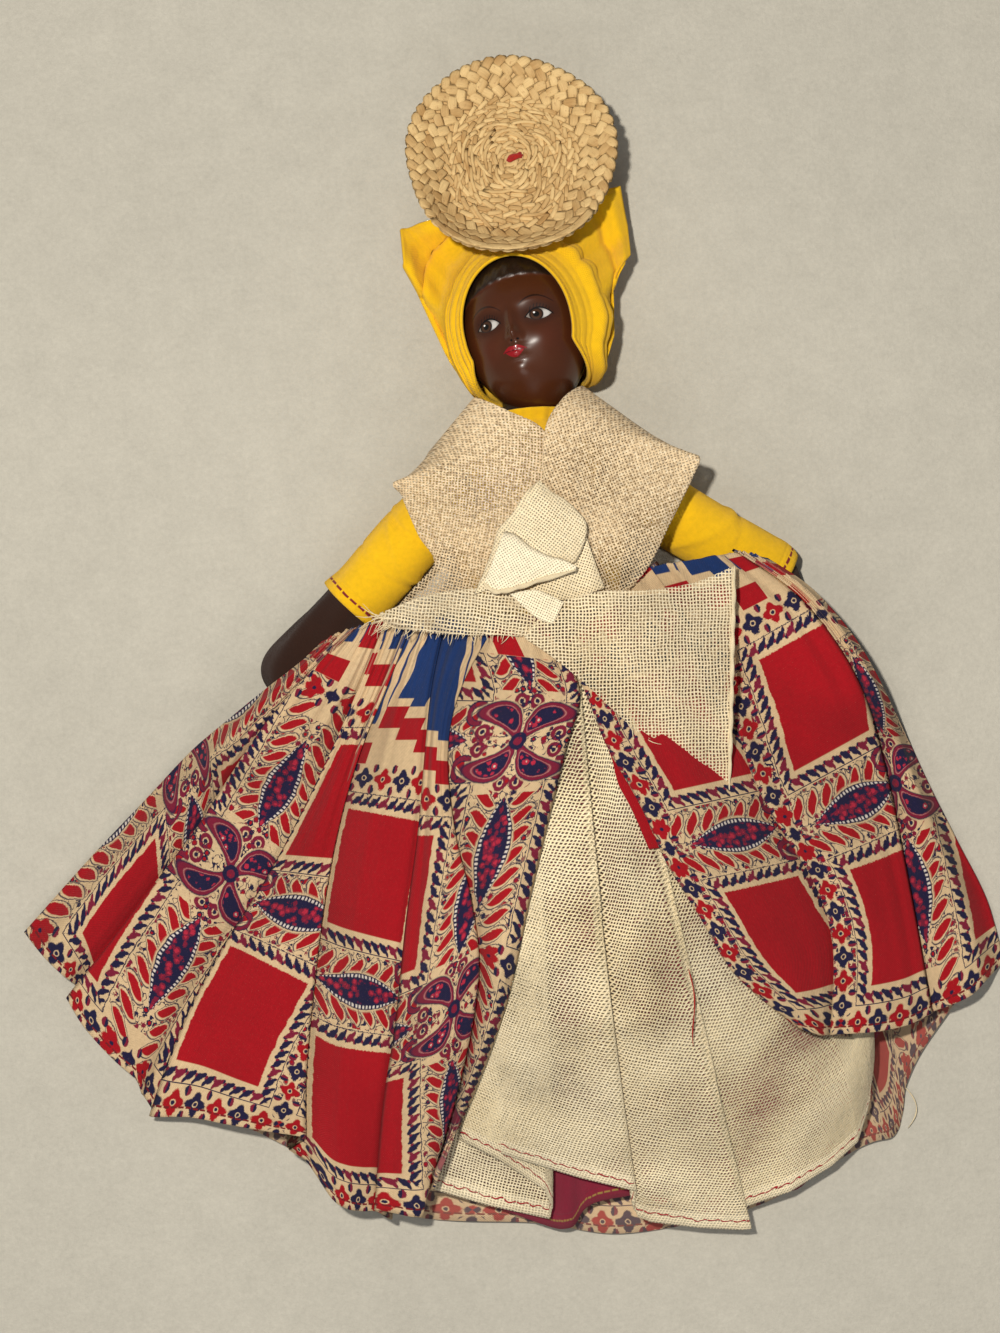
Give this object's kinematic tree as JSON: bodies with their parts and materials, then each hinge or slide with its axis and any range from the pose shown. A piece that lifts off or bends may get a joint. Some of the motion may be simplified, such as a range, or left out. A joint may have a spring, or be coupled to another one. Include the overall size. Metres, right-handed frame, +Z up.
{
  "type": "topsy turvy doll",
  "caption": "Soft double-ended doll lying on its back, with a scarfed head, plaited straw tray, crossed gauze shawl and a printed reversible skirt over its second half.",
  "frame": {"origin": "on the flat underside of the skirt's back, below the waist seam, at the resting plane", "axes": "+Z up from the resting plane, +Y along the doll to the head that shows, +X to the viewer's right"},
  "size_m": [0.2554, 0.3089, 0.047],
  "materials": {
    "yellow_cotton": "plain woven matt",
    "print_cotton": "printed plain woven matt",
    "maroon_cotton": "plain woven matt",
    "cream_gauze": "open gauze",
    "shawl_gauze": "open gauze",
    "brown_cloth": "matt woven",
    "brown_plastic": "gloss, painted features",
    "plaited_straw": "plaited dry straw",
    "red_thread": "twisted thread",
    "calico": "plain woven matt"
  },
  "bodies": {
    "torso": {"stuffed_body": "calico", "bodice_a": "yellow_cotton", "bodice_b": "maroon_cotton", "waistband": "maroon_cotton", "skirt_front_left": "print_cotton", "skirt_front_right": "print_cotton", "skirt_back": "print_cotton", "skirt_lining_front": "maroon_cotton", "skirt_lining_back": "maroon_cotton", "apron_a": "cream_gauze", "shawl_a": "shawl_gauze", "shawl_bow_a": "shawl_gauze", "shawl_tab_a": "shawl_gauze", "shawl_tail_left_a": "shawl_gauze", "shawl_tail_right_a": "shawl_gauze"},
    "head_a": {"head_a": "brown_plastic", "headscarf_a": "yellow_cotton", "scarf_wing_left_a": "yellow_cotton", "scarf_wing_right_a": "yellow_cotton", "scarf_peak_a": "yellow_cotton"},
    "tray_a": {"basket_tray_a": "plaited_straw", "tray_stitch_a": "red_thread"},
    "arm_left_a": {"arm_left_a": "brown_cloth", "sleeve_left_a": "yellow_cotton"},
    "arm_right_a": {"arm_right_a": "brown_cloth", "sleeve_right_a": "yellow_cotton"},
    "arm_left_b": {"arm_left_b": "brown_cloth", "sleeve_left_b": "maroon_cotton"},
    "arm_right_b": {"arm_right_b": "brown_cloth", "sleeve_right_b": "maroon_cotton"},
    "head_b": {"head_b": "brown_plastic", "headscarf_b": "maroon_cotton"}
  },
  "joints": [
    {"name": "neck_turn_a", "type": "hinge", "parent": "torso", "child": "head_a", "pos_m": [0, 0.052, 0.0176], "axis": [0, 1, 0], "range_deg": [-25, 25]},
    {"name": "tray_turn_a", "type": "hinge", "parent": "head_a", "child": "tray_a", "pos_m": [0.001, 0.12, 0.02], "axis": [0, 0.2588, 0.9659], "range_deg": [-180, 180]},
    {"name": "shoulder_left_a", "type": "hinge", "parent": "torso", "child": "arm_left_a", "pos_m": [-0.0245, 0.0335, 0.0142], "axis": [0, 0, -1], "range_deg": [0, 35]},
    {"name": "shoulder_right_a", "type": "hinge", "parent": "torso", "child": "arm_right_a", "pos_m": [0.0245, 0.0335, 0.0142], "axis": [0, 0, 1], "range_deg": [0, 35]},
    {"name": "shoulder_left_b", "type": "hinge", "parent": "torso", "child": "arm_left_b", "pos_m": [-0.0245, -0.0335, 0.0109], "axis": [0, 0, -1], "range_deg": [-5, 12]},
    {"name": "shoulder_right_b", "type": "hinge", "parent": "torso", "child": "arm_right_b", "pos_m": [0.0245, -0.0335, 0.0109], "axis": [0, 0, 1], "range_deg": [-5, 12]},
    {"name": "neck_turn_b", "type": "hinge", "parent": "torso", "child": "head_b", "pos_m": [0, -0.052, 0.0176], "axis": [0, 1, 0], "range_deg": [-20, 20]}
  ]
}
